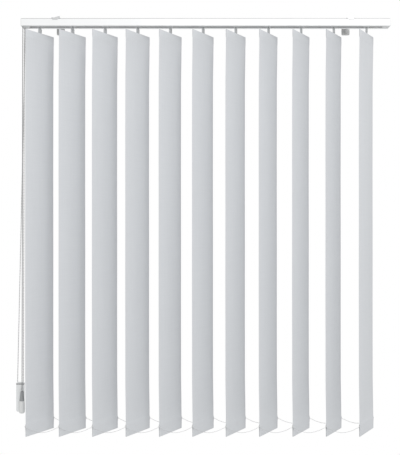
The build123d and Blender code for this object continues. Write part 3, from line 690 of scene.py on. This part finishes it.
dress(casing, casing_plastic, "rail", "grey_plastic", "chain_weight")
casing_back = casing.copy()
casing_back.data = casing.data.copy()
bpy.context.collection.objects.link(casing_back)
casing_back.data.transform(Matrix.Translation((0, 2 * casing_middle.y, 0)) @ Matrix.Scale(-1, 4, (0, 1, 0)))
casing_back.data.flip_normals()
casing_back.name = "chain_weight_back"
casing_back.data.name = "chain_weight_back"
dress(casing_back, casing_plastic, "rail", "grey_plastic", "chain_weight")
clear_selection()
bpy.ops.mesh.primitive_cylinder_add(vertices=40, radius=0.0082, depth=0.0012)
cover = bpy.context.object
bpy.ops.object.mode_set(mode="EDIT")
pick(cover, lambda middle: abs(middle.z) > 0.0005, "FACE")
bpy.ops.mesh.inset(thickness=0.0014)
bpy.ops.mesh.inset(thickness=0.0034)
bpy.ops.transform.resize(value=(1, 1, 0.45))
bpy.ops.object.mode_set(mode="OBJECT")
apply_modifier(cover, "BEVEL", width=0.00025, segments=2, limit_method="ANGLE")
cover.rotation_euler = (radians(90), 0, 0)
settle(cover, "cover_blank")
for side, y in (("front", casing_low.y + 0.0002), ("back", casing_high.y - 0.0002)):
    disc = copied(cover, f"wheel_cover_{side}", (casing_middle.x, y, wheel_z))
    dress(disc, cover_plastic, "rail", "white_plastic")
bpy.data.objects.remove(cover)
clear_selection()
bpy.ops.mesh.primitive_plane_add(size=1)
bar = bpy.context.object
bar.scale = (casing_high.x - casing_low.x + 0.0008, 2 * half_thick + 0.0008, 1)
bpy.ops.object.transform_apply(location=False, rotation=False, scale=True)
bpy.ops.object.mode_set(mode="EDIT")
bpy.ops.mesh.select_all(action="SELECT")
bpy.ops.mesh.bevel(offset=0.0018, segments=4, affect="VERTICES")
bpy.ops.mesh.select_all(action="SELECT")
bpy.ops.mesh.inset(thickness=0.0011)
bpy.ops.mesh.delete(type="FACE")
bpy.ops.mesh.select_all(action="SELECT")
bpy.ops.mesh.normals_make_consistent(inside=False)
bpy.ops.object.mode_set(mode="OBJECT")
apply_modifier(bar, "SOLIDIFY", thickness=0.0055, offset=0.0)
apply_modifier(bar, "BEVEL", width=0.0003, segments=2, limit_method="ANGLE")
bar.location = (casing_middle.x, casing_middle.y, casing_high.z - 0.006)
settle(bar, "chain_weight_band")
dress(bar, band_plastic, "rail", "grey_plastic")
clad("chain_weight_wheel", gear_plastic)

# Traverse cord: braided polyester, 1.4 mm thick. It is one loop through the carriers and
# round the return pulley, and both its runs hang down at the control end to the weight.
cord_route = [
    (0.5755, -0.084, 0.009),
    (0.6376, -0.084, 0.009),
    (0.6460, -0.084, 0.009),
    (0.6460, -0.074, 0.009),
    (0.6376, -0.074, 0.009),
    (-0.5916, -0.074, 0.009),
    (-0.6000, -0.074, 0.009),
    (-0.6340, -0.072, 0.009),
    (-0.6341, -0.072, 0.0006),
    (-0.63698, -0.072, -1.3076),
    (-0.6370, -0.072, -1.3160),
    (-0.6370, -0.078, -1.3160),
    (-0.63698, -0.078, -1.3076),
    (-0.6341, -0.078, 0.0006),
    (-0.6340, -0.078, 0.009),
    (-0.6000, -0.084, 0.009),
    (-0.5916, -0.084, 0.009),
    (0.5745, -0.084, 0.009),
]
cord_half = 0.0007
cord_braid = finish_of("cord_braid", (0.40, 0.40, 0.40), (0.33, 0.33, 0.33), 0.75, fine=2600.0, dusty=0.1)
braid_tree = cord_braid.node_tree
braid_bump = [node for node in braid_tree.nodes if node.type == "BUMP"][0]
braid_place = braid_tree.nodes.new("ShaderNodeTexCoord")
braid_split = braid_tree.nodes.new("ShaderNodeSeparateXYZ")
braid_tree.links.new(braid_place.outputs["Object"], braid_split.inputs[0])
along_cord = maths(braid_tree, "ADD", braid_split.outputs["X"], braid_split.outputs["Z"])
plait_left = maths(braid_tree, "SINE", maths(braid_tree, "MULTIPLY_ADD", braid_split.outputs["Y"], 4500.0, maths(braid_tree, "MULTIPLY", along_cord, 4500.0)))
plait_right = maths(braid_tree, "SINE", maths(braid_tree, "MULTIPLY_ADD", braid_split.outputs["Y"], -4500.0, maths(braid_tree, "MULTIPLY", along_cord, 4500.0)))
braid_tree.links.new(maths(braid_tree, "MAXIMUM", plait_left, plait_right), braid_bump.inputs["Height"])
braid_bump.inputs["Strength"].default_value = 0.5
traverse_cord = smooth_line("traverse_cord_braid", cord_route)
traverse_cord.data.bevel_depth = cord_half
traverse_cord.data.bevel_resolution = 2
traverse_cord.data.use_fill_caps = True
dress(traverse_cord, cord_braid, "rail", "cord", "traverse_cord")

# Cord weight: a turned drop in two mouldings, a dark cone that the cord runs into and a
# white body pressed onto it, with the cord's lower pulley on a pin inside.
bob_low, bob_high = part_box("cord_weight")
bob_x, bob_y = (bob_low.x + bob_high.x) / 2, (bob_low.y + bob_high.y) / 2
bob_plastic = finish_of("bob_plastic", (0.82, 0.82, 0.81), (0.78, 0.78, 0.77), 0.30, fine=1500.0)


def spun(name, profile, x, y):
    """A piece spun about an upright axis from a profile of (radius, height) places."""
    clear_selection()
    bpy.ops.mesh.primitive_plane_add(size=0.002)
    piece = bpy.context.object
    bpy.ops.object.mode_set(mode="EDIT")
    pick(piece, lambda middle: middle.x < 0)
    bpy.ops.mesh.delete(type="VERT")
    pick(piece, lambda middle: middle.y > 0)
    bpy.ops.mesh.delete(type="VERT")
    bpy.ops.object.mode_set(mode="OBJECT")
    piece.data.vertices[0].co = (profile[0][0], 0, profile[0][1])
    bpy.ops.object.mode_set(mode="EDIT")
    bpy.ops.mesh.select_all(action="SELECT")
    for (radius, level), (next_radius, next_level) in zip(profile, profile[1:]):
        step = (next_radius - radius, 0, next_level - level)
        bpy.ops.mesh.extrude_region_move(TRANSFORM_OT_translate={"value": step})
    bpy.ops.mesh.select_all(action="SELECT")
    bpy.ops.mesh.spin(steps=36, angle=2 * pi, center=(0, 0, 0), axis=(0, 0, 1))
    bpy.ops.mesh.select_all(action="SELECT")
    bpy.ops.mesh.remove_doubles(threshold=0.00002)
    bpy.ops.mesh.normals_make_consistent(inside=False)
    bpy.ops.object.mode_set(mode="OBJECT")
    piece.location = (x, y, 0)
    return settle(piece, name)


tip = bob_high.z
seam = tip - 0.033
cone = spun("cord_weight_cone", [
    (0.0040, tip - 0.012), (0.0040, tip - 0.001), (0.0044, tip), (0.0050, tip - 0.0004),
    (0.0054, tip - 0.004), (0.0064, tip - 0.014), (0.0078, tip - 0.026), (0.0086, seam + 0.0006),
    (0.0080, seam), (0.0080, seam - 0.004), (0.0, seam - 0.004), (0.0, tip - 0.012),
    (0.0040, tip - 0.012),
], bob_x, bob_y)
dress(cone, cone_plastic, "rail", "grey_plastic", "cord_weight")
foot = bob_low.z
drop = spun("cord_weight_body", [
    (0.0, seam - 0.0005), (0.0084, seam - 0.0005), (0.0090, seam - 0.0010), (0.0096, seam - 0.009),
    (0.0100, seam - 0.020), (0.0100, foot + 0.008), (0.0096, foot + 0.0042), (0.0085, foot + 0.0018),
    (0.0066, foot + 0.0005), (0.0045, foot), (0.0030, foot + 0.0004), (0.0024, foot + 0.0016),
    (0.0, foot + 0.0016),
], bob_x, bob_y)
dress(drop, bob_plastic, "rail", "white_plastic", "cord_weight")
clad("cord_weight_pulley", gear_plastic)

# Bottom chains: fine beads on a thread, one along the slats' front edges and one along
# their back edges. They hook under the weights' lugs and sag between them.
link_z = -1.40375
lug_x, lug_y = 0.068 * cos(turn), 0.068 * sin(turn)
for name, side in (("front", -1), ("rear", 1)):
    start = Vector((first_x + side * lug_x, hang_y + side * lug_y, link_z))
    sag_route = [tuple(start)]
    for gap in range(slat_count - 1):
        here = gap * pitch
        for along, fall in ((0.004, -0.0004), (0.023, -0.0110), (0.0575, -0.0195),
                            (0.092, -0.0110), (0.111, -0.0004)):
            sag_route.append((start.x + here + along, start.y, start.z + fall))
    sag_route.append((start.x + (slat_count - 1) * pitch, start.y, start.z))
    chain, line = beaded(f"bottom_chain_{name}_beads", sag_route, 0.0011, 0.0046, 0.0004)
    dress(chain, bead_plastic, f"{name}_chain", "chain_plastic", f"bottom_chain_{name}")
    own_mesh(chain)

# A plain pale floor below.
floor_paint = bpy.data.materials.new("floor_paint")
floor_paint.use_nodes = True
floor_paint.node_tree.nodes["Principled BSDF"].inputs["Base Color"].default_value = (0.80, 0.80, 0.79, 1)
floor_paint.node_tree.nodes["Principled BSDF"].inputs["Roughness"].default_value = 0.8
clear_selection()
bpy.ops.mesh.primitive_plane_add(size=7.2, location=(0, -2.5, -1.95))
floor = bpy.context.object
settle(floor, "floor")
floor.data.materials.append(floor_paint)

# Soft studio light: a broad panel in front and above, and an even pale surround.
surround = bpy.data.worlds.new("surround")
bpy.context.scene.world = surround
surround.use_nodes = True
surround_tree = surround.node_tree
soft_light = surround_tree.nodes["Background"]
soft_light.inputs["Color"].default_value = (0.97, 0.985, 1.0, 1)
soft_light.inputs["Strength"].default_value = 0.64
white_paper = surround_tree.nodes.new("ShaderNodeBackground")
white_paper.inputs["Color"].default_value = (1.0, 1.0, 1.0, 1)
seen = surround_tree.nodes.new("ShaderNodeLightPath")
paper_or_light = surround_tree.nodes.new("ShaderNodeMixShader")
surround_tree.links.new(seen.outputs["Is Camera Ray"], paper_or_light.inputs[0])
surround_tree.links.new(soft_light.outputs[0], paper_or_light.inputs[1])
surround_tree.links.new(white_paper.outputs[0], paper_or_light.inputs[2])
surround_tree.links.new(paper_or_light.outputs[0], surround_tree.nodes["World Output"].inputs["Surface"])
bpy.context.scene.view_settings.view_transform = "Standard"


def panel(name, place, aim, size, power):
    """A square soft light at a place, turned to its aim."""
    lamp = bpy.data.lights.new(name, "AREA")
    lamp.size = size
    lamp.energy = power
    lamp.color = (1.0, 1.0, 1.0)
    holder = bpy.data.objects.new(name, lamp)
    holder.location = place
    holder.rotation_euler = (Vector(aim) - Vector(place)).to_track_quat("-Z", "Y").to_euler()
    bpy.context.collection.objects.link(holder)


panel("front_panel", (0.9, -3.6, 1.2), (0.0, 0.0, -0.7), 3.0, 78.0)

# Camera: level, opposite the middle of the slats.
lens = bpy.data.cameras.new("camera")
lens.lens = 52.7
lens.sensor_width = 36.0
camera = bpy.data.objects.new("camera", lens)
camera.location = (-0.0114, -2.416, -0.7156)
camera.rotation_euler = (radians(90), 0, 0)
bpy.context.collection.objects.link(camera)
bpy.context.scene.camera = camera
